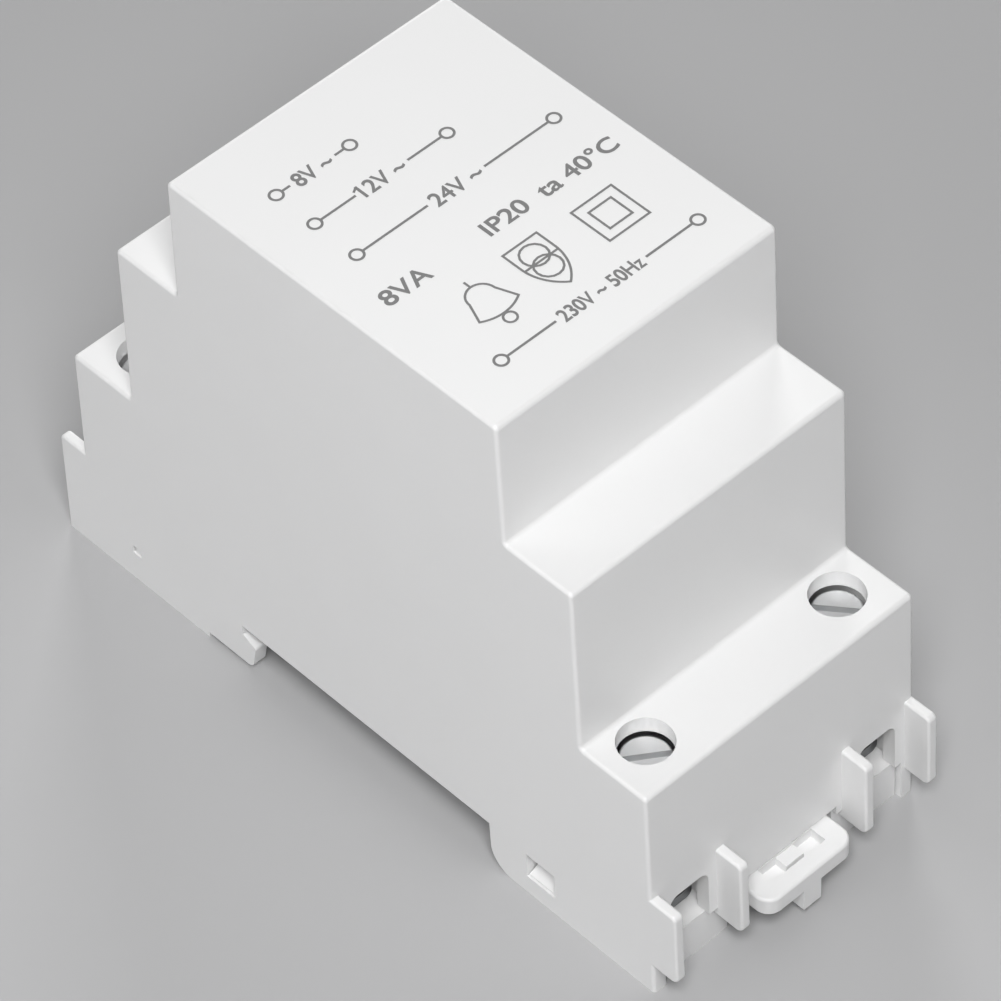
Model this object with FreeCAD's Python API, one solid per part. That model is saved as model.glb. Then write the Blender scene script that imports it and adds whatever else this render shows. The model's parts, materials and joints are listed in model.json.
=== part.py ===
import FreeCAD, Part
import math
import os

from FreeCAD import Vector

# Rail-mounted doorbell transformer, in millimetres. X runs across the width, Y from the
# primary end (negative) to the secondary end, Z up from the feet. Y = 0 is the rail's centre.

# Cover
body_width = 36.0             # two rail modules of 18 mm
plateau_length = 45.0         # fits the window of a distribution board
plateau_height = 66.0
shoulder_depth = 9.15
shoulder_height = 50.5
ledge_depth = 9.2
ledge_height = 28.9
wall = 1.6
draft_angle = 1.2             # degrees, on the end faces
plateau_round = 0.55
shoulder_round = 0.5
ledge_round = 0.5
hollow_round = 0.45           # where a riser meets the step below it
side_round = 0.4
fit_gap = 0.15                # slip fit of the base in the cover

# Wire fins on the end faces
fin_reach = 4.35              # past the ledge's edge; the clip's tab ends level with it
front_fin_setback = 0.5
fin_thickness = 1.2
fin_top = 14.1
fin_bottom = 4.1
fin_corner = 0.6
fin_foot_round = 0.9
fin_edge_round = 0.3

# Rail seat, feet and snap lugs
rail_width = 35.0
rail_height = 6.2             # underside of the base's deck, which lies on the rail
rail_flange = 1.0
deck_thickness = 1.8
hook_play = 0.2
hook_reach = 1.8
hook_slot = 1.3
hook_lift = 0.7
hook_lead = 0.65
hook_lead_round = 0.9
hook_tip_drop = 0.95
hook_tip_round = 0.35
hook_foot_length = 5.6        # from the slot's end to the foot behind the hook
base_hook_half_width = 12.0   # the base's own hook, between the cover's two
clip_side_play = 1.05         # from the rail's edge to the foot on the clip's side
foot_round = 3.0
foot_lean = 0.15
sill_setback = 0.7            # sill behind the end wall's foot
lug_reach = 1.5
window_gap = 0.15             # beside a lug
seat_gap = 0.1                # below a lug
front_lug_width = 3.7
front_lug_height = 0.8
front_lug_land = 0.1
front_lug_lift = 2.6
front_window_height = 3.4
front_lug_place = 7.15        # lug centre from the clip-side foot's wall
back_lug_width = 1.0
back_lug_height = 0.9
back_lug_land = 0.6
back_lug_lift = 4.1
back_window_height = 1.1
back_lug_place = 16.3         # lug centre from the hook's slot

# Rail clip
clip_thickness = 2.35
clip_travel = 4.0
clip_gap = 0.25
slider_half_width = 7.0
slider_length = 5.7           # wide part, behind the stop shoulders
tab_half_width = 6.1
tab_round = 1.75
tab_edge_round = 0.35
tab_slot_half_width = 3.7
tab_bar = 1.9
tab_slot_length = 2.0
tab_slot_depth = 1.3
tab_block_gap = 0.5           # from the bar
tab_block_recess = 0.3
tab_rib_half_width = 1.2
tab_rib_drop = 2.6
tab_rib_length = 7.0
nose_half_width = 4.2
nose_reach = 2.7              # hold on the rail's flange
nose_drop = 1.15
nose_tip = 0.6
nose_lead = 2.4
finger_width = 1.0
finger_slit = 0.8
finger_nub = 0.6
finger_nub_proud = 0.15
lip_thickness = 1.4
lip_reach = 2.9

# Terminals
terminal_setback = 5.15       # screw axis from the ledge's edge
hole_diameter = 5.8
hole_land = 1.95
hole_boss_wall = 1.0
head_depth = 2.2              # top of the screw head below the ledge
head_diameter = 5.4
head_height = 2.5
head_slot_width = 0.7
head_slot_depth = 1.3
head_round = 0.35
screw_diameter = 3.5
thread_gap = 0.05
tip_gap = 0.1
clamp_travel = 3.0
cage_headroom = 1.4
cage_depth = 5.6
cage_wall = 0.9
cage_floor = 1.2
cage_side_room = 0.7
cage_foot_gap = 0.5
cage_thread_length = 4.0
cage_round = 0.8
cage_inner_round = 0.3
wire_room = 3.3
entry_width = 5.2
entry_round = 1.2
entry_headroom = 1.7
bar_thickness = 1.2
bar_side_gap = 0.2
bar_tail = 2.5
bulkhead_gap = 1.9
bulkhead_thickness = 2.0
bulkhead_height = 5.5
partition_thickness = 1.2
partition_height = 7.0
pocket_step = 1.0             # terminal floor below the rail seat

# Core, coil and leads
core_end_room = 3.4
core_head_room = 10.4
coil_side_room = 8.9
cradle_height = 4.0
cradle_lip = 4.0
cradle_wall = 1.9
cradle_gap = 0.1
rib_thickness = 1.6
former_gap = 0.15
former_wall = 0.9
flange_thickness = 1.0
flange_margin = 0.5
winding_build = 3.4
winding_round = 3.0
tape_thickness = 0.3
tape_margin = 0.4
fuse_thickness = 2.2
fuse_length = 6.0
fuse_height = 6.5
fuse_round = 0.6
lead_diameter = 1.2
lead_hole_gap = 0.2
lead_drop_room = 2.0
lead_rise = 4.0

# Cutters run this far past the faces that they open
overrun = 1.0

# Derived places
lean = math.tan(math.radians(draft_angle))
half_width = body_width / 2
inner_half = half_width - wall
base_half = inner_half - fit_gap
plateau_half = plateau_length / 2
shoulder_half = plateau_half + shoulder_depth
ledge_half = shoulder_half + ledge_depth
end_reach = ledge_half + fin_reach
deck_top = rail_height + deck_thickness

slot_end = rail_width / 2 + hook_play
hook_tip = slot_end - hook_reach
hook_top = rail_height - hook_slot
foot_wall = -(rail_width / 2 + clip_side_play)
foot_inside = foot_wall - wall - foot_lean

terminal_pitch = (body_width - wall) / 4
terminal_y = ledge_half - terminal_setback
bulkhead_near = terminal_y - cage_depth / 2 - bulkhead_gap
bulkhead_far = bulkhead_near - bulkhead_thickness
pocket_floor = rail_height - pocket_step
wall_edge = pocket_floor + fit_gap
head_top = ledge_height - head_depth
head_under = head_top - head_height
cage_bottom = pocket_floor + cage_foot_gap
cage_top = head_under - cage_headroom - clamp_travel
cage_half = (terminal_pitch - partition_thickness) / 2 - cage_side_room
bar_bottom = cage_bottom + cage_floor + wire_room
bar_top = bar_bottom + bar_thickness
bar_half = cage_half - cage_wall - bar_side_gap
bar_end = bulkhead_far - bar_tail
entry_top = bar_bottom + entry_headroom

clip_bottom = rail_height - clip_thickness
lip_top = clip_bottom - clip_gap
channel_roof = rail_height + clip_gap
channel_half = slider_half_width + clip_gap
channel_front_half = tab_half_width + clip_gap
slider_end = foot_inside - clip_gap
stop_y = slider_end - slider_length
channel_stop = stop_y - clip_travel - clip_gap

core_bottom = deck_top + cradle_height
core_length_room = plateau_length - 2 * wall - 2 * core_end_room
core_height_room = plateau_height - wall - core_head_room - core_bottom
core_unit = min(core_length_room / 5, core_height_room / 6)
core_half_length = 2.5 * core_unit
core_top = core_bottom + 6 * core_unit
core_half_stack = inner_half - coil_side_room
leg_low = core_bottom + 2 * core_unit
leg_high = leg_low + 2 * core_unit
window_half = 1.5 * core_unit
tube_half_x = core_half_stack + former_gap + former_wall
tube_low = leg_low - former_gap - former_wall
tube_high = leg_high + former_gap + former_wall
flange_half_x = tube_half_x + winding_build + flange_margin
flange_low = core_bottom + core_unit + former_gap
flange_high = leg_high + core_unit - former_gap
former_half = window_half - former_gap
winding_half_x = tube_half_x + winding_build
winding_low = flange_low + flange_margin
winding_high = flange_high - flange_margin
primary_y = (-former_half + flange_thickness, -flange_thickness / 2)
secondary_y = (flange_thickness / 2, former_half - flange_thickness)

TINY = 1e-6
FRONT = -1
BACK = 1
TERMINALS = {FRONT: (-1.5, 1.5), BACK: (-1.5, -0.5, 0.5, 1.5)}
SLOT_TURNS = {FRONT: (-35, -52), BACK: (20, 74, -15, 48)}    # degrees from X, as left by the driver
SIDES = {FRONT: "primary", BACK: "secondary"}


def block(x, y, z):
    """Box between pairs of limits, each given in either order."""
    low = Vector(min(x), min(y), min(z))
    high = Vector(max(x), max(y), max(z))
    size = high - low
    return Part.makeBox(size.x, size.y, size.z, low)


def rod(x, y, low, high, radius):
    """Upright cylinder."""
    return Part.makeCylinder(radius, high - low, Vector(x, y, low))


def rounded_wire(corners, put):
    """Closed outline through corners (u, v) or (u, v, radius); put places a point in space."""
    turns = []
    for index, corner in enumerate(corners):
        radius = corner[2] if len(corner) > 2 else 0
        here = Vector(corner[0], corner[1], 0)
        before = Vector(*corners[index - 1][:2], 0)
        after = Vector(*corners[(index + 1) % len(corners)][:2], 0)
        back = (before - here).normalize()
        ahead = (after - here).normalize()
        if not radius:
            turns.append((here, None, here))
            continue
        half = back.getAngle(ahead) / 2
        reach = radius / math.tan(half)
        middle = here + (back + ahead).normalize() * (radius / math.sin(half) - radius)
        turns.append((here + back * reach, middle, here + ahead * reach))
    edges = []
    for turn, following in zip(turns, turns[1:] + turns[:1]):
        start, middle, end = turn
        if middle:
            edges.append(Part.Arc(put(start), put(middle), put(end)).toShape())
        if end.distanceToPoint(following[0]) > TINY:
            edges.append(Part.LineSegment(put(end), put(following[0])).toShape())
    return Part.Wire(edges)


def prism_x(corners, low, high):
    """Outline in (y, z), pushed along X."""
    wire = rounded_wire(corners, lambda p: Vector(low, p.x, p.y))
    return Part.Face(wire).extrude(Vector(high - low, 0, 0))


def prism_y(corners, low, high):
    """Outline in (x, z), pushed along Y."""
    wire = rounded_wire(corners, lambda p: Vector(p.x, low, p.y))
    return Part.Face(wire).extrude(Vector(0, high - low, 0))


def prism_z(corners, low, high):
    """Outline in (x, y), pushed along Z."""
    wire = rounded_wire(corners, lambda p: Vector(p.x, p.y, low))
    return Part.Face(wire).extrude(Vector(0, 0, high - low))


def rectangle(u, v, radius=0):
    """Corners of a rectangle between two pairs of limits."""
    return [(u[0], v[0], radius), (u[1], v[0], radius), (u[1], v[1], radius), (u[0], v[1], radius)]


def fuse_all(shapes):
    """One solid from pieces that meet."""
    return shapes[0].multiFuse(shapes[1:]).removeSplitter()


def end_outer(z):
    """Outside of the end wall at a height, as a distance from the rail's centre."""
    return ledge_half + (ledge_height - z) * lean


def end_inner(z):
    """Inside of the end wall at a height."""
    return end_outer(z) - wall


def steps(inset, bottom, rounded):
    """Stepped outline (y, z) of the secondary half, from the plateau's edge down to the bottom."""
    levels = (
        (plateau_half, plateau_height, plateau_round, shoulder_height - inset),
        (shoulder_half, shoulder_height, shoulder_round, ledge_height - inset),
        (ledge_half, ledge_height, ledge_round, bottom),
    )
    corners = []
    for reach, top, radius, foot in levels:
        rise = top - inset - foot
        corners.append((reach - inset, top - inset, radius if rounded else 0))
        corners.append((reach - inset + rise * lean, foot, hollow_round if rounded else 0))
    corners[-1] = corners[-1][:2]
    return corners


def mirrored(corners):
    """The same outline on the primary half, in reverse order."""
    return [(-corner[0],) + tuple(corner[1:]) for corner in reversed(corners)]


def hook_tooth():
    """Tooth (y, z) of the fixed hook, from below its root to the slot's end."""
    return [
        (hook_tip + hook_lead, hook_lift, hook_lead_round),
        (hook_tip, hook_top - hook_tip_drop, hook_tip_round),
        (slot_end, hook_top),
    ]


def rail_outline(tooth):
    """Underside (y, z) from the foot behind the fixed hook to the foot on the clip's side."""
    hook_foot = slot_end + hook_foot_length
    return [(hook_foot, 0), (hook_foot, hook_lift)] + tooth + [
        (slot_end, rail_height),
        (foot_wall, rail_height),
        (foot_wall - foot_lean, 0, foot_round),
    ]


def terminal_places(end):
    """Screw axes (x, y) at one end."""
    return [(step * terminal_pitch, end * terminal_y) for step in TERMINALS[end]]


def fin(end, centre, bottom):
    """Insulating fin across an end face, with rounded edges. A fin down to the feet is square there."""
    reach = end_reach if end == BACK else end_reach - front_fin_setback
    top_reach = reach - (fin_top - bottom) * lean
    corners = [
        (end * ledge_half, bottom),
        (end * reach, bottom, fin_foot_round if bottom else 0),
        (end * top_reach, fin_top, fin_corner),
        (end * ledge_half, fin_top),
    ]
    plate = prism_x(corners, centre - fin_thickness / 2, centre + fin_thickness / 2)
    return plate.makeFillet(fin_edge_round, [edge for edge in plate.Edges if on_fin_rim(edge, end)])


def on_fin_rim(edge, end):
    """True for the long edges of a fin outside the end wall, apart from its foot."""
    middle = edge.CenterOfMass
    outside = end * middle.y > end_outer(0)
    return edge.BoundBox.XLength < TINY and outside and middle.z > TINY


def fins():
    """All fins of the cover. The outer ones stand on the side walls, the rest clear the base's sills."""
    edge_centre = half_width - fin_thickness / 2
    made = [fin(BACK, 0, fin_bottom)]
    for side in (-1, 1):
        made.append(fin(FRONT, side * edge_centre, fin_bottom))
        made.append(fin(BACK, side * edge_centre, 0))
        for end in (FRONT, BACK):
            made.append(fin(end, side * terminal_pitch, fin_bottom))
    return made


def end_relief():
    """Cutters for the room that the base's sills and the clip take below the end walls."""
    across = (-inner_half, inner_half)
    reach = end_outer(0) + overrun
    notch = block((-channel_half, channel_half), (0, FRONT * reach), (-overrun, channel_roof))
    return [notch] + [block(across, (0, end * reach), (-overrun, wall_edge)) for end in (FRONT, BACK)]


def snap_windows():
    """Cutters for the windows that the base's lugs snap into."""
    cutters = []
    for y, width, lift, window, _, _ in lug_places():
        reach = width / 2 + window_gap
        low = lift - seat_gap
        cutters.append(block((-body_width, body_width), (y - reach, y + reach), (low, low + window)))
    return cutters


def lug_places():
    """Centre and width along Y, lift, height of the window, and height and land of each lug."""
    front_y = foot_wall - front_lug_place
    back_y = slot_end + back_lug_place
    return [
        (front_y, front_lug_width, front_lug_lift, front_window_height, front_lug_height, front_lug_land),
        (back_y, back_lug_width, back_lug_lift, back_window_height, back_lug_height, back_lug_land),
    ]


def cover():
    """Stepped shell, open below, with fins, wire entries, screw holes and hold-down ribs."""
    upper = steps(0, 0, True)
    shell = prism_x(upper + rail_outline(hook_tooth()) + mirrored(upper), -half_width, half_width)
    shell = shell.makeFillet(side_round, [edge for edge in shell.Edges if on_side_rim(edge)])
    inside = steps(wall, -overrun, False)
    hollow = prism_x(inside + mirrored(inside), -inner_half, inner_half)
    shell = shell.cut([hollow] + end_relief() + snap_windows())

    added = fins()
    cutters = []
    for end in (FRONT, BACK):
        added.append(hold_down_rib(end))
        for x, y in terminal_places(end):
            land = ledge_height - hole_land
            added.append(rod(x, y, land, ledge_height - wall / 2, hole_diameter / 2 + hole_boss_wall))
            cutters.append(rod(x, y, land - overrun, ledge_height + overrun, hole_diameter / 2))
            cutters.append(wire_entry(end, x))
    return fuse_all([shell] + added).cut(cutters)


def on_side_rim(edge):
    """True for the edges round the cover's two side faces, apart from the underside."""
    box = edge.BoundBox
    return box.XLength < TINY and box.ZMax > rail_height + TINY


def wire_entry(end, x):
    """Cutter for a wire entry, round at its upper corners."""
    half = entry_width / 2
    corners = [
        (x - half, wall_edge - wall),
        (x + half, wall_edge - wall),
        (x + half, entry_top, entry_round),
        (x - half, entry_top, entry_round),
    ]
    near = end * (end_inner(entry_top) - wall)
    return prism_y(corners, near, end * (end_outer(0) + fit_gap))


def hold_down_rib(end):
    """Rib from the plateau down to the core's yoke."""
    y = end * (core_half_length - core_unit / 2)
    reach = core_half_stack + cradle_wall
    low = core_top + cradle_gap
    across = (y - rib_thickness / 2, y + rib_thickness / 2)
    return block((-reach, reach), across, (low, plateau_height - wall / 2))


def base():
    """Tray under the works: deck on the rail, two feet, fixed hook, clip channel and terminal walls."""
    sill = end_outer(wall_edge) - sill_setback
    deck_end = end_inner(deck_top) - fit_gap
    outline = [(deck_end, deck_top), (deck_end, pocket_floor), (sill, pocket_floor), (sill, 0)]
    plain = [(slot_end, hook_lift)]
    tray = prism_x(outline + rail_outline(plain) + mirrored(outline), -base_half, base_half)
    tray = tray.cut(clip_channel(sill) + foot_pockets(sill) + terminal_pockets(sill))
    return fuse_all([tray, rail_hook()] + terminal_walls() + core_cradle() + snap_lugs())


def rail_hook():
    """The base's tooth, rooted in the foot behind the slot."""
    root = slot_end + wall
    corners = hook_tooth() + [(root, hook_top), (root, hook_lift)]
    return prism_x(corners, -base_hook_half_width, base_hook_half_width)


def clip_channel(sill):
    """Cutters for the rail clip: stepped tunnel, the gap between its lips and the nose's window."""
    tip = foot_wall + wall
    mouth = -sill - wall
    lip_edge = channel_half - lip_reach
    nose_low = clip_bottom - nose_drop - clip_gap
    wide = (-channel_half, channel_half)
    narrow = (-channel_front_half, channel_front_half)
    between_lips = (-lip_edge, lip_edge)
    return [
        block(wide, (foot_inside, channel_stop), (lip_top, channel_roof)),
        block(narrow, (channel_stop, mouth), (lip_top, channel_roof)),
        block(between_lips, (foot_inside, mouth), (-overrun, lip_top)),
        block(between_lips, (foot_inside, tip), (nose_low, channel_roof)),
        block(wide, (wall - sill, mouth), (-overrun, channel_roof)),
    ]


def foot_pockets(sill):
    """Cutters that core the feet out from below."""
    roof = pocket_floor - wall
    far = base_half - wall
    cutters = []
    for side in (-1, 1):
        front = (foot_inside, wall - sill)
        back = (slot_end + hook_foot_length + wall, sill - wall)
        cutters.append(block((side * (channel_half + wall), side * far), front, (-overrun, roof)))
        cutters.append(block((side * wall / 2, side * far), back, (-overrun, roof)))
        lip_under = lip_top - lip_thickness
        cutters.append(block((0, side * channel_half), front, (-overrun, lip_under)))
    return cutters


def terminal_pockets(sill):
    """Cutters that lower the deck under the clamps."""
    inner = terminal_pitch + partition_thickness / 2
    high = deck_top + overrun
    reach = sill + overrun
    cutters = [block((-half_width, half_width), (bulkhead_near, reach), (pocket_floor, high))]
    for side in (-1, 1):
        across = (side * inner, side * half_width)
        cutters.append(block(across, (-bulkhead_near, -reach), (pocket_floor, high)))
    return cutters


def terminal_walls():
    """Bulkheads that hold the contact bars, and partitions between the clamps."""
    walls = []
    for end in (FRONT, BACK):
        across = (end * bulkhead_near, end * bulkhead_far)
        for x, y in terminal_places(end):
            left = max(x - terminal_pitch / 2, -base_half)
            right = min(x + terminal_pitch / 2, base_half)
            panel = block((left, right), across, (deck_top - wall / 2, deck_top + bulkhead_height))
            slot = block((x - bar_half, x + bar_half), across, (bar_bottom, bar_top))
            walls.append(panel.cut(slot))
        along = (end * bulkhead_near, end * (end_inner(deck_top) - 2 * fit_gap))
        for step in (-1, 0, 1):
            if step or end == BACK:
                x = step * terminal_pitch
                across_x = (x - partition_thickness / 2, x + partition_thickness / 2)
                low = pocket_floor - wall / 2 if end == BACK else deck_top - wall / 2
                walls.append(block(across_x, along, (low, deck_top + partition_height)))
    return walls


def core_cradle():
    """Two saddles that carry the core and keep it from shifting sideways."""
    saddles = []
    inner = core_half_stack + cradle_gap
    outer = core_half_stack + cradle_wall
    for end in (FRONT, BACK):
        y = end * (core_half_length - core_unit / 2)
        along = (y - core_unit / 4, y + core_unit / 4)
        saddles.append(block((-outer, outer), along, (deck_top - wall / 2, core_bottom)))
        for side in (-1, 1):
            across = (side * inner, side * outer)
            saddles.append(block(across, along, (core_bottom - wall / 2, core_bottom + cradle_lip)))
    return saddles


def snap_lugs():
    """Ramped lugs on both sides of the base, level below so that they hold the cover."""
    lugs = []
    for y, width, lift, _, height, land in lug_places():
        for side in (-1, 1):
            root = side * (base_half - wall / 2)
            flush = side * base_half
            tip = side * (base_half + lug_reach)
            corners = [
                (root, lift),
                (tip, lift),
                (tip, lift + land),
                (flush, lift + height),
                (root, lift + height),
            ]
            lugs.append(prism_y(corners, y - width / 2, y + width / 2))
    return lugs


def din_clip():
    """Sliding rail clip: nose, stop shoulders, spring fingers and a tab with a screwdriver slot."""
    tip = -end_reach
    plan = [
        (-tab_half_width, tip, tab_round),
        (tab_half_width, tip, tab_round),
        (tab_half_width, stop_y),
        (slider_half_width, stop_y),
        (slider_half_width, slider_end),
        (-slider_half_width, slider_end),
        (-slider_half_width, stop_y),
        (-tab_half_width, stop_y),
    ]
    plate = prism_z(plan, clip_bottom, rail_height)
    plate = plate.makeFillet(tab_edge_round, [edge for edge in plate.Edges if on_tab_rim(edge)])
    slot_front = tip + tab_bar
    slot = (slot_front, slot_front + tab_slot_length)
    slot_floor = rail_height - tab_slot_depth
    slot_x = (-tab_slot_half_width, tab_slot_half_width)
    plate = plate.cut(block(slot_x, slot, (slot_floor, rail_height + overrun)))
    for side in (-1, 1):
        inner = side * (slider_half_width - finger_width)
        slit = (inner - side * finger_slit, inner)
        along = (stop_y + finger_width, slider_end + overrun)
        plate = plate.cut(block(slit, along, (0, rail_height + overrun)))
    rib_low = clip_bottom - tab_rib_drop
    rib_x = (-tab_rib_half_width, tab_rib_half_width)
    rib = block(rib_x, (tip, tip + tab_rib_length), (rib_low, slot_floor))
    fill = (slot_front + tab_block_gap, slot_front + tab_slot_length + tab_block_gap)
    rest = block(rib_x, fill, (clip_bottom, rail_height - tab_block_recess))
    nubs = []
    nub_x = slider_half_width + finger_nub_proud - finger_nub
    for side in (-1, 1):
        nubs.append(rod(side * nub_x, slider_end - finger_nub, clip_bottom, rail_height, finger_nub))
    return fuse_all([plate, rib, rest, clip_nose()] + nubs)


def on_tab_rim(edge):
    """True for the edges round the tab's outer end, above and below."""
    box = edge.BoundBox
    return box.ZLength < TINY and box.YMin < -end_reach + tab_round + TINY


def clip_nose():
    """Wedge that catches the rail's flange: flat on top, with a lead-in below."""
    top = rail_height - rail_flange - clip_gap
    low = clip_bottom - nose_drop
    tip = nose_reach - rail_width / 2
    root = slider_end - finger_width
    corners = [
        (root, low),
        (tip - nose_lead, low),
        (tip, top - nose_tip),
        (tip, top),
        (root, top),
    ]
    return prism_x(corners, -nose_half_width, nose_half_width)


def terminal_screw(x, y, turn):
    """Cheese-head screw with its slot turned by some degrees, its tip just over the contact bar."""
    head = rod(x, y, head_under, head_top, head_diameter / 2)
    rim = [edge for edge in head.Edges if edge.CenterOfMass.z > head_top - TINY]
    head = head.makeFillet(head_round, rim)
    shank = rod(x, y, bar_top + tip_gap, head_under + head_height / 2, screw_diameter / 2)
    slot_z = (head_top - head_slot_depth, head_top + overrun)
    half = head_slot_width / 2
    slot = block((x - head_diameter, x + head_diameter), (y - half, y + half), slot_z)
    slot.rotate(Vector(x, y, 0), Vector(0, 0, 1), turn)
    return fuse_all([head, shank]).cut(slot)


def clamp_cage(x, y):
    """Rising cage: folded strip round the contact bar, with the screw's thread in its top."""
    outer = rectangle((x - cage_half, x + cage_half), (cage_bottom, cage_top), cage_round)
    inside = cage_half - cage_wall
    opening = (cage_bottom + cage_floor, cage_top - cage_thread_length)
    inner = rectangle((x - inside, x + inside), opening, cage_inner_round)
    cage = prism_y(outer, y - cage_depth / 2, y + cage_depth / 2)
    cage = cage.cut(prism_y(inner, y - cage_depth, y + cage_depth))
    bore = rod(x, y, opening[1] - overrun, cage_top + overrun, screw_diameter / 2 + thread_gap)
    return cage.cut(bore)


def contact_bar(x, end):
    """Flat bar through the bulkhead and the cage, with a tail for the lead."""
    nose = terminal_y + cage_depth / 2 + bar_side_gap
    return block((x - bar_half, x + bar_half), (end * nose, end * bar_end), (bar_bottom, bar_top))


def core_e_stack():
    """E laminations, yoke towards the primary end, legs along Y."""
    low = -core_half_length
    tip = low + 4 * core_unit
    yoke = low + core_unit
    corners = [(low, core_bottom), (tip, core_bottom)]
    for leg in range(2):
        gap_low = core_bottom + core_unit * (1 + 3 * leg)
        gap_high = gap_low + core_unit
        corners += [(tip, gap_low), (yoke, gap_low), (yoke, gap_high), (tip, gap_high)]
    corners += [(tip, core_top), (low, core_top)]
    return prism_x(corners, -core_half_stack, core_half_stack)


def core_i_stack():
    """I laminations that close the core at the secondary end."""
    along = (core_half_length - core_unit, core_half_length)
    return block((-core_half_stack, core_half_stack), along, (core_bottom, core_top))


def ring(outer_x, outer_z, inner_x, inner_z, y, outer_round, inner_round):
    """Rectangular ring round the centre leg, between two distances along Y."""
    outer = prism_y(rectangle((-outer_x, outer_x), outer_z, outer_round), y[0], y[1])
    inner = prism_y(rectangle((-inner_x, inner_x), inner_z, inner_round), y[0] - overrun, y[1] + overrun)
    return outer.cut(inner)


def bobbin():
    """Two-chamber coil former: square tube with three flanges, holed for the leads."""
    leg_x = core_half_stack + former_gap
    leg_z = (leg_low - former_gap, leg_high + former_gap)
    tube_z = (tube_low, tube_high)
    flange_z = (flange_low, flange_high)
    pieces = [ring(tube_half_x, tube_z, leg_x, leg_z, (-former_half, former_half), former_wall, 0)]
    for y in (-former_half, -flange_thickness / 2, former_half - flange_thickness):
        along = (y, y + flange_thickness)
        pieces.append(ring(flange_half_x, flange_z, leg_x, leg_z, along, former_wall, 0))
    holes = []
    for end in (FRONT, BACK):
        for x, z in lead_exits(end):
            across = Vector(x, end * former_half, z)
            radius = lead_diameter / 2 + lead_hole_gap
            holes.append(Part.makeCylinder(radius, 2 * flange_thickness, across, Vector(0, -end, 0)))
    return fuse_all(pieces).cut(holes)


def winding(along):
    """Wound copper in one chamber, as the ring that its turns fill."""
    outer_z = (winding_low, winding_high)
    inner_z = (tube_low, tube_high)
    return ring(winding_half_x, outer_z, tube_half_x, inner_z, along, winding_round, former_wall)


def tape(along):
    """Wrap of insulating tape round a winding."""
    inner_z = (winding_low, winding_high)
    outer_z = (winding_low - tape_thickness, winding_high + tape_thickness)
    span = (along[0] + tape_margin, along[1] - tape_margin)
    outer_round = winding_round + tape_thickness
    outer_x = winding_half_x + tape_thickness
    return ring(outer_x, outer_z, winding_half_x, inner_z, span, outer_round, winding_round)


def fuse_limits():
    """Limits of the thermal fuse, which lies on the primary winding's tape."""
    near = winding_half_x + tape_thickness
    middle_y = sum(primary_y) / 2
    middle_z = (leg_low + leg_high) / 2
    along = (middle_y - fuse_length / 2, middle_y + fuse_length / 2)
    upright = (middle_z - fuse_height / 2, middle_z + fuse_height / 2)
    return (near, near + fuse_thickness), along, upright


def thermal_fuse():
    """Flat thermal cut-out, rounded at its long edges."""
    across, along, upright = fuse_limits()
    return prism_y(rectangle(across, upright, fuse_round), along[0], along[1])


def lead_exits(end):
    """Where leads pass through a flange, as (x, z). The fused primary lead passes outside it."""
    outer = (tube_half_x + winding_half_x) / 2
    middle = (leg_low + leg_high) / 2
    if end == FRONT:
        return [(-outer, middle)]
    return [(-outer, middle + lead_rise), (-outer, middle - lead_rise),
            (outer, middle - lead_rise), (outer, middle + lead_rise)]


def lead(points, bend_share=0.45):
    """Insulated wire: straight runs joined by arcs, each of which takes a share of the shorter run."""
    edges = []
    start = points[0]
    for before, here, after in zip(points, points[1:], points[2:]):
        back = (before - here).normalize()
        ahead = (after - here).normalize()
        turn = math.pi - back.getAngle(ahead)
        shorter = min(before.distanceToPoint(here), here.distanceToPoint(after))
        reach = bend_share * shorter
        radius = reach / math.tan(turn / 2)
        middle = here + (back + ahead).normalize() * (radius / math.cos(turn / 2) - radius)
        edges.append(Part.LineSegment(start, here + back * reach).toShape())
        start = here + ahead * reach
        edges.append(Part.Arc(here + back * reach, middle, start).toShape())
    edges.append(Part.LineSegment(start, points[-1]).toShape())
    along = points[1] - points[0]
    section = Part.Wire(Part.makeCircle(lead_diameter / 2, points[0], along))
    return Part.Wire(edges).makePipeShell([section], True, False)


def lead_to_bar(start, end, x):
    """Lead from a winding or the fuse, past the core and down to a contact bar's tail."""
    bar_z = (bar_bottom + bar_top) / 2
    turn_y = end * (core_half_length + lead_drop_room)
    return lead([
        start,
        Vector(start.x, turn_y, start.z),
        Vector(x, end * (bar_end - lead_drop_room), bar_z),
        Vector(x, end * bar_end, bar_z),
    ])


def leads(end):
    """Leads of one end, in the order of its terminals."""
    face = {FRONT: primary_y[0], BACK: secondary_y[1]}[end]
    starts = [Vector(x, face, z) for x, z in lead_exits(end)]
    if end == FRONT:
        across, along, upright = fuse_limits()
        starts.append(Vector(sum(across) / 2, along[0], sum(upright) / 2))
    places = terminal_places(end)
    return [lead_to_bar(start, end, x) for start, (x, y) in zip(starts, places)]


def build():
    """Every piece of the transformer, by name."""
    pieces = {
        "cover": cover(),
        "base": base(),
        "din_clip": din_clip(),
        "core_e_stack": core_e_stack(),
        "core_i_stack": core_i_stack(),
        "bobbin": bobbin(),
        "primary_winding": winding(primary_y),
        "secondary_winding": winding(secondary_y),
        "primary_tape": tape(primary_y),
        "secondary_tape": tape(secondary_y),
        "thermal_fuse": thermal_fuse(),
    }
    for end, side in SIDES.items():
        wires = leads(end)
        for number, (x, y) in enumerate(terminal_places(end), start=1):
            pieces[f"screw_{side}_{number}"] = terminal_screw(x, y, SLOT_TURNS[end][number - 1])
            pieces[f"clamp_{side}_{number}"] = clamp_cage(x, y)
            pieces[f"contact_{side}_{number}"] = contact_bar(x, end)
            pieces[f"lead_{side}_{number}"] = wires[number - 1]
    return pieces


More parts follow.
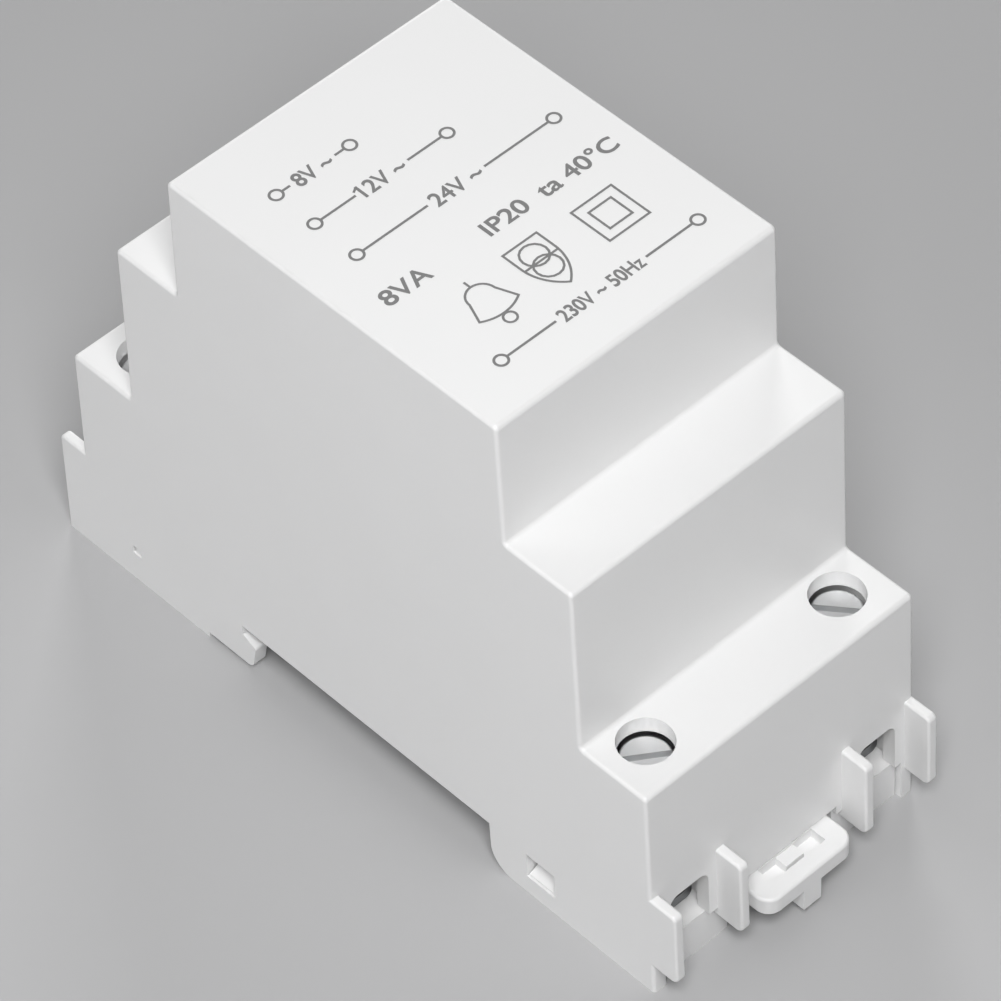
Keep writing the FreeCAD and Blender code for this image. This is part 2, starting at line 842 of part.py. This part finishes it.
os.makedirs("parts", exist_ok=True)
for name, shape in build().items():
    shape.exportStep(f"parts/{name}.step")
    print(name, len(shape.Solids), shape.isValid(), round(shape.Volume, 2))
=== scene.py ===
import json
import math

import bmesh
import bpy
from mathutils import Matrix, Vector


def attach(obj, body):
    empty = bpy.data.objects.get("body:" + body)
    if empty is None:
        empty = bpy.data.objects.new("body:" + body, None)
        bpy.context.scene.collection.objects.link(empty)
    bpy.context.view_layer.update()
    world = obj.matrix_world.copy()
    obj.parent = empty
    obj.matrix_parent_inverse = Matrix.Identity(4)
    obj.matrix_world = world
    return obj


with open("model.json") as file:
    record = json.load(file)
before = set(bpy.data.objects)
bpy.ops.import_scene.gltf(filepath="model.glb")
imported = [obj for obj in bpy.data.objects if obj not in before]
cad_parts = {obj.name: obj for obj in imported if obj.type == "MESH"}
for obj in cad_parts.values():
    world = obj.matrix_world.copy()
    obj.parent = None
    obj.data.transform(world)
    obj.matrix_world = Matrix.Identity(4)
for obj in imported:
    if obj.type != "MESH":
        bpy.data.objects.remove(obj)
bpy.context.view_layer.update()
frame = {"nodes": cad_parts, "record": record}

MM = 0.001
HOUSING = "housing"

# Camera, fitted to the photograph: angles in degrees, lens and sensor in millimetres
CAMERA_AZIMUTH = -41.414
CAMERA_ELEVATION = 47.862
CAMERA_ROLL = -2.929
CAMERA_DISTANCE = 598.22 * MM
CAMERA_RIGHT = 0.638 * MM
CAMERA_UP = 16.557 * MM
CAMERA_CLIP = 6 * MM
CAMERA_LENS = 211.7
SENSOR_WIDTH = 36.0

# Studio
FLOOR_SIZE = 8.0
FLOOR_COLOUR = (0.46, 0.46, 0.465, 1.0)
FLOOR_ROUGHNESS = 0.9
SKY_COLOUR = (1.0, 1.0, 1.0, 1.0)
SKY_STRENGTH = 0.1
TARGET_HEIGHT = 30 * MM
# Softboxes: azimuth and elevation in degrees, distance and side in metres, power in watts
SOFTBOXES = {
    "key": (-39.0, 53.0, 0.6, 0.21, 2.78),
    "left_fill": (-100.0, 25.0, 1.1, 0.8, 2.5),
    "overhead": (-60.0, 84.0, 1.0, 0.8, 1.1),
    "back_fill": (138.0, 12.0, 2.0, 0.6, 24.0),
}

# Colours of the finishes, each as a darker and a paler one
BRASS = ((0.72, 0.54, 0.24, 1.0), (0.80, 0.64, 0.34, 1.0))
CORE_STEEL = ((0.12, 0.12, 0.13, 1.0), (0.36, 0.37, 0.39, 1.0))
# the darker copper is painted shade for the grooves between the winding's turns
COPPER_AND_GROOVE_SHADE = ((0.30, 0.09, 0.03, 1.0), (0.70, 0.30, 0.13, 1.0))
TAPE_FILM = ((0.62, 0.45, 0.07, 1.0), (0.82, 0.66, 0.18, 1.0))
NYLON = ((0.66, 0.64, 0.57, 1.0), (0.74, 0.72, 0.66, 1.0))
FUSE_RESIN = ((0.16, 0.16, 0.16, 1.0), (0.23, 0.23, 0.23, 1.0))
BLACK_INSULATION = ((0.03, 0.03, 0.03, 1.0), (0.05, 0.05, 0.05, 1.0))
RED_INSULATION = ((0.50, 0.05, 0.04, 1.0), (0.60, 0.08, 0.06, 1.0))
INK = ((0.15, 0.15, 0.15, 1.0), (0.22, 0.22, 0.22, 1.0))
PLASTIC_IOR = 1.5
FINE_DETAIL = 3.0
# A wave texture of scale 1 repeats at this distance
WAVE_PERIOD = math.pi / 10
# Sockets of a Mix node that are used for colours
MIX_FACTOR, MIX_LOW, MIX_HIGH, MIX_RESULT = 0, 6, 7, 2

# Print on the plateau, in millimetres; its words run along X
PRINT_HEIGHT = 66.0
INK_HEIGHT = 0.02
INK_STEP = 0.003
LINE_WIDTH = 0.27
SYMBOL_LINE = 0.24
STROKE_SWELL = 0.04
RING_RADIUS = 0.82
TEXT_GAP = 0.55
RING_POINTS = 40
ARC_POINTS = 16
MERGE_DISTANCE = 0.001
# Terminal rows: words, middle in Y, rings and ends of the words in X, cap height
ROWS = (
    ("8V ~", 13.78, -11.87, -2.52, -9.58, -5.0, 1.9),
    ("12V ~", 8.4, -11.87, 5.03, -6.15, -0.63, 1.9),
    ("24V ~", 2.63, -11.86, 13.48, -2.32, 3.85, 1.9),
    ("230V ~ 50Hz", -16.67, -11.76, 13.49, -4.3, 6.15, 1.7),
)
# Ratings: words, middle in Y, ends in X, cap height
RATINGS = (
    ("8VA", -3.51, -14.35, -8.68, 2.1),
    ("IP20  ta 40°C", -3.55, -1.52, 15.37, 2.1),
)
BELL_CENTRE = (-7.4, -9.55)
BELL_RADIUS = 1.6
BELL_STUB = 0.9
BELL_SKIRT = 2.25
BELL_HALF_WIDTH = 2.47
BELL_SAG = 0.7
BELL_CLAPPER = 0.8
COIL_CENTRE = (-0.37, -10.1)
COIL_RADIUS = 1.45
COIL_SPREAD = 0.95
CREST_HALF_WIDTH = 2.17
CREST_TOP = -7.15
CREST_SHOULDER = -9.6
CREST_POINT = -14.0
SQUARES_CENTRE = (8.42, -10.22)
SQUARES_HALF = (2.6, 1.45)
# Flag of the figure one in the second row: its reach either side of the word's end, and its drop
FLAG_ROW = 1
FLAG_LEFT = 0.42
FLAG_RIGHT = 0.2
FLAG_DROP = 0.4


class Signal:
    """An output socket of a node tree. Python's operators on it add Math nodes."""

    def __init__(self, nodes, socket):
        self.nodes = nodes
        self.socket = socket

    def math(self, operation, first, second):
        return self.nodes.add("ShaderNodeMath", {"operation": operation}, {0: first, 1: second})

    def __add__(self, other):
        return self.math("ADD", self, other)

    def __sub__(self, other):
        return self.math("SUBTRACT", self, other)

    def __rsub__(self, other):
        return self.math("SUBTRACT", other, self)

    def __mul__(self, other):
        return self.math("MULTIPLY", self, other)

    def __truediv__(self, other):
        return self.math("DIVIDE", self, other)

    __radd__ = __add__
    __rmul__ = __mul__


class Nodes:
    """A node tree under construction."""

    def __init__(self, tree):
        self.tree = tree

    def add(self, kind, settings=None, sockets=None, output=0):
        """Any node: its settings are made first, then its sockets get values or links.

        Gives the signal of one output, or the node itself where output is None.
        """
        node = self.tree.nodes.new(kind)
        for name, value in (settings or {}).items():
            setattr(node, name, value)
        for key, value in (sockets or {}).items():
            self.feed(node.inputs[key], value)
        return node if output is None else Signal(self, node.outputs[output])

    def feed(self, socket, value):
        """A value, a link, or a list of links for a socket that takes many."""
        links = value if isinstance(value, list) else [value]
        if not isinstance(links[0], Signal):
            socket.default_value = value
            return
        for link in links:
            self.tree.links.new(link.socket, socket)


class Finish(Nodes):
    """A procedural material on one Principled shader, laid out in Object coordinates."""

    def __init__(self, name, **constants):
        self.material = bpy.data.materials.new(name)
        self.material.use_nodes = True
        super().__init__(self.material.node_tree)
        self.shader = self.tree.nodes["Principled BSDF"]
        self.place = self.add("ShaderNodeTexCoord", output="Object")
        for socket, value in constants.items():
            self.shader.inputs[socket.replace("_", " ")].default_value = value

    def surface(self, **sockets):
        """Feeds what varies over the surface to the shader."""
        for key, value in sockets.items():
            self.feed(self.shader.inputs[key.replace("_", " ")], value)
        return self.material

    def noise(self, size, detail=2.0, place=None):
        """Noise from 0 to 1 with features of about this size."""
        sockets = {"Vector": place or self.place, "Scale": 1 / size, "Detail": detail}
        return self.add("ShaderNodeTexNoise", None, sockets)

    def stretched(self, x, y, z):
        """Object coordinates stretched along the axes, for a pattern with a direction."""
        return self.add("ShaderNodeMapping", None, {"Vector": self.place, "Scale": (x, y, z)})

    def bands(self, pitch, axis):
        """Rounded bands across an axis, from 0 to 1."""
        settings = {"wave_type": "BANDS", "bands_direction": axis, "wave_profile": "SIN"}
        sockets = {"Vector": self.place, "Scale": WAVE_PERIOD / pitch}
        return self.add("ShaderNodeTexWave", settings, sockets)

    def tint(self, factor, low, high):
        """Colour between two, by a factor."""
        sockets = {MIX_FACTOR: factor, MIX_LOW: low, MIX_HIGH: high}
        return self.add("ShaderNodeMix", {"data_type": "RGBA"}, sockets, MIX_RESULT)

    def bump(self, height, distance):
        return self.add("ShaderNodeBump", None, {"Height": height, "Distance": distance})


class Shape(Nodes):
    """A Geometry Nodes tree in millimetres, with named inputs, for flat print."""

    def __init__(self, name, inputs):
        super().__init__(bpy.data.node_groups.new(name, "GeometryNodeTree"))
        sides = self.tree.interface
        self.keys = {}
        for label, kind in inputs.items():
            self.keys[label] = sides.new_socket(label, in_out="INPUT", socket_type=kind).identifier
        sides.new_socket("Print", in_out="OUTPUT", socket_type="NodeSocketGeometry")
        self.given = self.add("NodeGroupInput", output=None)

    def value(self, label):
        return Signal(self, self.given.outputs[label])

    def vector(self, x=0.0, y=0.0, z=0.0):
        return self.add("ShaderNodeCombineXYZ", None, {"X": x, "Y": y, "Z": z})

    def parts_of(self, vector):
        """X and Y of a vector."""
        node = self.add("ShaderNodeSeparateXYZ", None, {0: vector}, None)
        return Signal(self, node.outputs["X"]), Signal(self, node.outputs["Y"])

    def move(self, geometry, place, scale=(1.0, 1.0, 1.0)):
        """Scaled about the origin, then moved."""
        sockets = {"Geometry": geometry, "Translation": place, "Scale": scale}
        return self.add("GeometryNodeTransform", None, sockets)

    def join(self, *geometry):
        return self.add("GeometryNodeJoinGeometry", None, {"Geometry": list(geometry)})

    def fill(self, *curves):
        return self.add("GeometryNodeFillCurve", None, {"Curve": self.join(*curves)})

    def circle(self, radius):
        sockets = {"Resolution": RING_POINTS, "Radius": radius}
        return self.add("GeometryNodeCurvePrimitiveCircle", None, sockets)

    def swollen(self, curves):
        """Letters with heavier strokes: their outlines move outwards."""
        points = self.add("GeometryNodeResampleCurve", {"mode": "EVALUATED"}, {"Curve": curves})
        level = self.add("GeometryNodeSetCurveNormal", {"mode": "Z_UP"}, {"Curve": points})
        outwards = self.add("ShaderNodeVectorMath", {"operation": "SCALE"},
                            {0: self.add("GeometryNodeInputNormal"), "Scale": STROKE_SWELL})
        return self.add("GeometryNodeSetPosition", None, {"Geometry": level, "Offset": outwards})

    def words(self, text, left, right, middle, cap):
        """Flat words, fitted between two ends and to a cap height."""
        letters = self.add("GeometryNodeStringToCurves", None, {"String": text, "Size": cap})
        curves = self.add("GeometryNodeRealizeInstances", None, {"Geometry": letters})
        flat = self.fill(self.swollen(curves))
        box = self.add("GeometryNodeBoundBox", None, {"Geometry": flat}, None)
        low_x, low_y = self.parts_of(Signal(self, box.outputs["Min"]))
        high_x, high_y = self.parts_of(Signal(self, box.outputs["Max"]))
        wide = (right - left) / (high_x - low_x)
        tall = cap / (high_y - low_y)
        place = self.vector(left - low_x * wide, middle - cap / 2 - low_y * tall)
        return self.move(flat, place, self.vector(wide, tall, 1.0))

    def finish(self, flat, material):
        """Gives flat faces the ink's thickness and lays them on the plateau."""
        raised = self.add("GeometryNodeExtrudeMesh", None,
                          {"Mesh": flat, "Offset Scale": INK_HEIGHT, "Individual": False})
        under = self.add("GeometryNodeFlipFaces", None, {"Mesh": flat})
        closed = self.add("GeometryNodeMergeByDistance", None,
                          {"Geometry": self.join(raised, under), "Distance": MERGE_DISTANCE})
        laid = self.move(closed, (0, 0, PRINT_HEIGHT * MM), (MM, MM, MM))
        real = self.add("GeometryNodeRealizeInstances", None, {"Geometry": laid})
        inked = self.add("GeometryNodeSetMaterial", None, {"Geometry": real, "Material": material})
        self.add("NodeGroupOutput", None, {0: inked}, None)

    def make(self, **values):
        """Plain mesh of the tree with these inputs."""
        holder = add_object("holder", bpy.data.meshes.new("holder"))
        modifier = holder.modifiers.new("shape", "NODES")
        modifier.node_group = self.tree
        for label, value in values.items():
            modifier[self.keys[label]] = value
        graph = bpy.context.evaluated_depsgraph_get()
        mesh = bpy.data.meshes.new_from_object(holder.evaluated_get(graph))
        bpy.data.objects.remove(holder)
        return mesh


def add_object(name, data):
    made = bpy.data.objects.new(name, data)
    bpy.context.scene.collection.objects.link(made)
    return made


def grey(level, warmth=0.0):
    """Opaque near-grey; warmth lifts red and lowers blue."""
    return (level + warmth, level, level - warmth, 1.0)


def about(middle, swing, factor):
    """Value that swings about a middle, by a factor from 0 to 1."""
    return middle - swing + 2 * swing * factor


def moulded_white(name, level, roughness):
    """Satin white plastic: faint flow clouds and a fine spark-eroded grain."""
    cloud_size, cloud_swing = 14 * MM, 0.012
    grain_size, grain_depth, gloss_swing = 0.18 * MM, 0.003 * MM, 0.04
    finish = Finish(name, IOR=PLASTIC_IOR)
    clouds = finish.noise(cloud_size)
    grain = finish.noise(grain_size, FINE_DETAIL)
    return finish.surface(
        Base_Color=finish.tint(clouds, grey(level - cloud_swing), grey(level + cloud_swing)),
        Roughness=about(roughness, gloss_swing, grain),
        Normal=finish.bump(grain, grain_depth),
    )


def printed_ink():
    """Pad-printed dark grey, a little uneven."""
    speckle_size, roughness, gloss_swing = 0.12 * MM, 0.6, 0.1
    finish = Finish("printed_ink")
    speckle = finish.noise(speckle_size, FINE_DETAIL)
    return finish.surface(
        Base_Color=finish.tint(speckle, *INK),
        Roughness=about(roughness, gloss_swing, speckle),
    )


def zinc_plate(name, level, roughness):
    """Zinc-plated steel with faint drawing marks up and down."""
    streak_size, streak_stretch, streak_depth = 0.08 * MM, 0.12, 0.004 * MM
    cloud_size, darker, paler, bluish = 1.5 * MM, 0.06, 0.03, 0.01
    gloss_swing = 0.08
    finish = Finish(name, Metallic=1.0)
    streaks = finish.noise(streak_size, place=finish.stretched(1.0, 1.0, streak_stretch))
    clouds = finish.noise(cloud_size)
    return finish.surface(
        Base_Color=finish.tint(clouds, grey(level - darker), grey(level + paler, -bluish)),
        Roughness=about(roughness, gloss_swing, streaks),
        Normal=finish.bump(streaks, streak_depth),
    )


def bright_brass():
    """Brass strip with fine rolling marks along Y."""
    streak_size, streak_stretch, streak_depth = 0.1 * MM, 0.1, 0.003 * MM
    roughness, gloss_swing = 0.32, 0.08
    finish = Finish("bright_brass", Metallic=1.0)
    streaks = finish.noise(streak_size, place=finish.stretched(1.0, streak_stretch, 1.0))
    return finish.surface(
        Base_Color=finish.tint(streaks, *BRASS),
        Roughness=about(roughness, gloss_swing, streaks),
        Normal=finish.bump(streaks, streak_depth),
    )


def laminated_steel():
    """Varnished sheets half a millimetre thick, seen as lines on the stack's edges."""
    sheet, sheet_relief, metallic = 0.5 * MM, 0.05 * MM, 0.85
    varnish_size, varnish_detail = 3 * MM, 4.0
    cover, cover_swing = 0.8, 0.2
    roughness, gloss_swing = 0.48, 0.1
    finish = Finish("laminated_steel", Metallic=metallic)
    sheets = finish.bands(sheet, "X")
    varnish = finish.noise(varnish_size, varnish_detail)
    return finish.surface(
        Base_Color=finish.tint(sheets * about(cover, cover_swing, varnish), *CORE_STEEL),
        Roughness=about(roughness, gloss_swing, varnish),
        Normal=finish.bump(sheets, sheet_relief),
    )


def enamelled_wire():
    """Copper turns side by side, glossier on their crowns, with painted shade darkening the grooves
    between turns.
    """
    wire, wire_relief = 0.3 * MM, 0.08 * MM
    groove_roughness, crown_gloss = 0.36, 0.1
    finish = Finish("enamelled_wire", Metallic=1.0)
    turns = finish.bands(wire, "Y")
    return finish.surface(
        # colour runs from the darker copper in the grooves, as painted shade, to the paler copper on the
        # crowns
        Base_Color=finish.tint(turns, *COPPER_AND_GROOVE_SHADE),
        Roughness=groove_roughness - crown_gloss * turns,
        Normal=finish.bump(turns, wire_relief),
    )


def polyester_tape():
    """Clear-coated yellow film, wrinkled along Y."""
    wrinkle_size, wrinkle_stretch, wrinkle_relief = 2.5 * MM, 0.3, 0.06 * MM
    roughness, gloss_swing = 0.29, 0.07
    coat, coat_swing, coat_roughness = 0.4, 0.1, 0.1
    finish = Finish("polyester_tape", Coat_Roughness=coat_roughness)
    wrinkle = finish.noise(wrinkle_size, FINE_DETAIL, finish.stretched(1.0, wrinkle_stretch, 1.0))
    return finish.surface(
        Base_Color=finish.tint(wrinkle, *TAPE_FILM),
        Roughness=about(roughness, gloss_swing, wrinkle),
        Coat_Weight=about(coat, coat_swing, wrinkle),
        Normal=finish.bump(wrinkle, wrinkle_relief),
    )


def plain_polymer(name, colours, roughness):
    """Moulded or extruded polymer of one colour, slightly mottled."""
    mottle_size, mottle_relief, gloss_swing = 1.2 * MM, 0.006 * MM, 0.05
    finish = Finish(name)
    mottle = finish.noise(mottle_size, FINE_DETAIL)
    return finish.surface(
        Base_Color=finish.tint(mottle, *colours),
        Roughness=about(roughness, gloss_swing, mottle),
        Normal=finish.bump(mottle, mottle_relief),
    )


def dress_frame():
    """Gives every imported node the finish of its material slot."""
    finishes = {
        "cover_plastic": moulded_white("cover_white", level=0.84, roughness=0.40),
        "base_plastic": moulded_white("base_white", level=0.82, roughness=0.44),
        "clip_plastic": moulded_white("clip_white", level=0.85, roughness=0.36),
        "core_steel": laminated_steel(),
        "former_plastic": plain_polymer("former_nylon", NYLON, roughness=0.5),
        "winding_copper": enamelled_wire(),
        "coil_tape": polyester_tape(),
        "fuse_body": plain_polymer("fuse_resin", FUSE_RESIN, roughness=0.45),
        "screw_zinc": zinc_plate("screw_zinc", level=0.87, roughness=0.5),
        # clamp_zinc is set far darker than plated zinc: partly a dull plating, partly painted shade for
        # the dark inside of the terminal entries
        "clamp_zinc": zinc_plate("clamp_zinc", level=0.24, roughness=0.42),
        "contact_brass": bright_brass(),
        "lead_primary": plain_polymer("black_insulation", BLACK_INSULATION, roughness=0.42),
        "lead_secondary": plain_polymer("red_insulation", RED_INSULATION, roughness=0.42),
    }
    for subpart in frame["record"]["subparts"]:
        node = frame["nodes"][subpart["node"]]
        node.data.materials.clear()
        node.data.materials.append(finishes[subpart["material_slot"]])


def word_inputs():
    return {"Text": "NodeSocketString", "Middle": "NodeSocketFloat", "Left": "NodeSocketFloat",
            "Right": "NodeSocketFloat", "Cap": "NodeSocketFloat"}


def rating_shape(ink):
    """Words alone."""
    shape = Shape("rating", word_inputs())
    text, middle, left, right, cap = [shape.value(label) for label in word_inputs()]
    shape.finish(shape.words(text, left, right, middle, cap), ink)
    return shape


def row_shape(ink):
    """A terminal row: a ring at each end, and a line from each ring to the words between them."""
    inputs = word_inputs()
    inputs.update({"First_ring": "NodeSocketFloat", "Last_ring": "NodeSocketFloat"})
    shape = Shape("terminal_row", inputs)
    text, middle, left, right, cap, first, last = [shape.value(label) for label in inputs]
    flat = [shape.words(text, left, right, middle, cap)]
    for ring, word_end, side in ((first, left, -1), (last, right, 1)):
        annulus = shape.fill(shape.circle(RING_RADIUS), shape.circle(RING_RADIUS - LINE_WIDTH))
        flat.append(shape.move(annulus, shape.vector(ring, middle)))
        near = word_end + side * TEXT_GAP
        far = ring - side * RING_RADIUS
        sizes = {"Size X": (far - near) * side, "Size Y": LINE_WIDTH, "Vertices X": 2, "Vertices Y": 2}
        run = shape.add("GeometryNodeMeshGrid", None, sizes)
        flat.append(shape.move(run, shape.vector((near + far) / 2, middle)))
    shape.finish(shape.join(*flat), ink)
    return shape


def arc(centre, radius, start, end):
    """Points on an arc, from one angle to another in degrees."""
    turns = [math.radians(start + (end - start) * step / ARC_POINTS) for step in range(ARC_POINTS + 1)]
    return [(centre[0] + radius * math.cos(turn), centre[1] + radius * math.sin(turn)) for turn in turns]


def ring_points(centre, radius):
    return arc(centre, radius, 0, 360)[:-1]


def bell_lines():
    """Outline of a bell with a stub above and a clapper below, as (points, closed)."""
    x, y = BELL_CENTRE
    low = y - BELL_SKIRT - BELL_SAG
    rim = (BELL_HALF_WIDTH ** 2 + BELL_SAG ** 2) / (2 * BELL_SAG)
    swing = math.degrees(math.asin(BELL_HALF_WIDTH / rim))
    body = arc(BELL_CENTRE, BELL_RADIUS, 0, 180) + arc((x, low + rim), rim, 270 - swing, 270 + swing)
    stub = [(x, y + BELL_RADIUS + BELL_STUB), (x, y + BELL_RADIUS)]
    clapper = ring_points((x, low - BELL_CLAPPER), BELL_CLAPPER - SYMBOL_LINE / 2)
    return [(body, True), (stub, False), (clapper, True)]


def coil_lines():
    """Two linked rings parted by a bar, the sign of an isolating transformer, in a pointed frame."""
    x, y = COIL_CENTRE
    half, drop = CREST_HALF_WIDTH, CREST_SHOULDER - CREST_POINT
    radius = (half ** 2 + drop ** 2) / (2 * half)
    swing = math.degrees(math.asin(drop / radius))
    left = arc((x - half + radius, CREST_SHOULDER), radius, 180, 180 + swing)
    right = arc((x + half - radius, CREST_SHOULDER), radius, -swing, 0)
    crest = [(x - half, CREST_TOP)] + left + right[1:] + [(x + half, CREST_TOP)]
    bar = [(x - half, y), (x + half, y)]
    rings = [ring_points((x, y + side * COIL_SPREAD), COIL_RADIUS) for side in (-1, 1)]
    return [(crest, True), (bar, False)] + [(ring, True) for ring in rings]


def square_lines():
    """Square in a square, the sign of double insulation."""
    x, y = SQUARES_CENTRE
    signs = ((-1, -1), (1, -1), (1, 1), (-1, 1))
    return [([(x + half * across, y + half * along) for across, along in signs], True)
            for half in SQUARES_HALF]


def flag_lines():
    """Slanting flag at the top of the figure one, which the built-in letters draw as a plain bar."""
    _, middle, _, _, left, _, cap = ROWS[FLAG_ROW]
    top = middle + (cap - SYMBOL_LINE) / 2
    return [([(left - FLAG_LEFT, top - FLAG_DROP), (left + FLAG_RIGHT, top)], False)]


def ribbon(solid, points, closed, height):
    """Adds a line of ink along points to a bmesh, mitred at its corners and closed all round."""
    path = [Vector(point) for point in points]
    count = len(path)
    rails = []
    for index, here in enumerate(path):
        inner = closed or index < count - 1
        ahead = path[(index + 1) % count] - here if inner else here - path[index - 1]
        back = here - path[index - 1] if closed or index else ahead
        normals = [Vector((-way.y, way.x)).normalized() for way in (back, ahead)]
        middle = (normals[0] + normals[1]).normalized()
        offset = middle * (SYMBOL_LINE / 2 / middle.dot(normals[0]))
        left, right = here + offset, here - offset
        corners = [(left, 0), (right, 0), (right, height), (left, height)]
        rails.append([solid.verts.new((p.x * MM, p.y * MM, (PRINT_HEIGHT + z) * MM)) for p, z in corners])
    for index in range(count if closed else count - 1):
        near, far = rails[index], rails[(index + 1) % count]
        for side in range(len(near)):
            solid.faces.new((near[side], near[side - 1], far[side - 1], far[side]))
    if not closed:
        solid.faces.new(rails[0])
        solid.faces.new(rails[-1][::-1])


def plateau_print():
    """All the print on the plateau, as one thin piece. Lines that cross end at different heights."""
    ink = printed_ink()
    rows, ratings = row_shape(ink), rating_shape(ink)
    solid = bmesh.new()
    for text, middle, first, last, left, right, cap in ROWS:
        solid.from_mesh(rows.make(Text=text, Middle=middle, Left=left, Right=right, Cap=cap,
                                  First_ring=first, Last_ring=last))
    for text, middle, left, right, cap in RATINGS:
        solid.from_mesh(ratings.make(Text=text, Middle=middle, Left=left, Right=right, Cap=cap))
    for symbol in (bell_lines(), coil_lines(), square_lines(), flag_lines()):
        for layer, (points, closed) in enumerate(symbol, start=1):
            ribbon(solid, points, closed, INK_HEIGHT + layer * INK_STEP)
    bmesh.ops.recalc_face_normals(solid, faces=solid.faces)
    mesh = bpy.data.meshes.new("plateau_print")
    solid.to_mesh(mesh)
    mesh.materials.append(ink)
    piece = add_object("plateau_print", mesh)
    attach(piece, HOUSING)


def direction(azimuth, elevation):
    """Unit vector from the part towards a viewer. Azimuth 0 looks along +Y."""
    turn, rise = math.radians(azimuth), math.radians(elevation)
    return Vector((math.sin(turn) * math.cos(rise), -math.cos(turn) * math.cos(rise), math.sin(rise)))


def softbox(name, azimuth, elevation, distance, side, power):
    """Square area lamp aimed at the middle of the case."""
    lamp = bpy.data.lights.new(name, "AREA")
    lamp.shape = "SQUARE"
    lamp.size = side
    lamp.energy = power
    made = add_object(name, lamp)
    back = direction(azimuth, elevation)
    made.location = Vector((0, 0, TARGET_HEIGHT)) + back * distance
    made.rotation_euler = back.to_track_quat("Z", "Y").to_euler()


def floor():
    """Pale paper under the part."""
    half = FLOOR_SIZE / 2
    corners = [(-half, -half, 0), (half, -half, 0), (half, half, 0), (-half, half, 0)]
    mesh = bpy.data.meshes.new("floor")
    mesh.from_pydata(corners, [], [(0, 1, 2, 3)])
    paper = Finish("floor_paper", Base_Color=FLOOR_COLOUR, Roughness=FLOOR_ROUGHNESS)
    mesh.materials.append(paper.material)
    add_object("floor", mesh)


def studio():
    """Floor, even sky and softboxes."""
    floor()
    world = bpy.data.worlds.new("sky")
    world.use_nodes = True
    sky = world.node_tree.nodes["Background"]
    sky.inputs["Color"].default_value = SKY_COLOUR
    sky.inputs["Strength"].default_value = SKY_STRENGTH
    bpy.context.scene.world = world
    for name, values in SOFTBOXES.items():
        softbox(name, *values)
    bpy.context.scene.view_settings.view_transform = "Standard"


def camera():
    """Camera at the photograph's angle."""
    back = direction(CAMERA_AZIMUTH, CAMERA_ELEVATION)
    turn = math.radians(CAMERA_AZIMUTH)
    level = Vector((math.cos(turn), math.sin(turn), 0))
    upright = back.cross(level)
    roll = math.radians(CAMERA_ROLL)
    right = level * math.cos(roll) + upright * math.sin(roll)
    up = upright * math.cos(roll) - level * math.sin(roll)
    eye = right * CAMERA_RIGHT + up * CAMERA_UP + back * CAMERA_DISTANCE
    lens = bpy.data.cameras.new("camera")
    lens.sensor_width = SENSOR_WIDTH
    lens.lens = CAMERA_LENS
    lens.clip_start = CAMERA_CLIP
    made = add_object("camera", lens)
    made.matrix_world = Matrix.Translation(eye) @ Matrix((right, up, back)).transposed().to_4x4()
    bpy.context.scene.camera = made


dress_frame()
plateau_print()
studio()
camera()
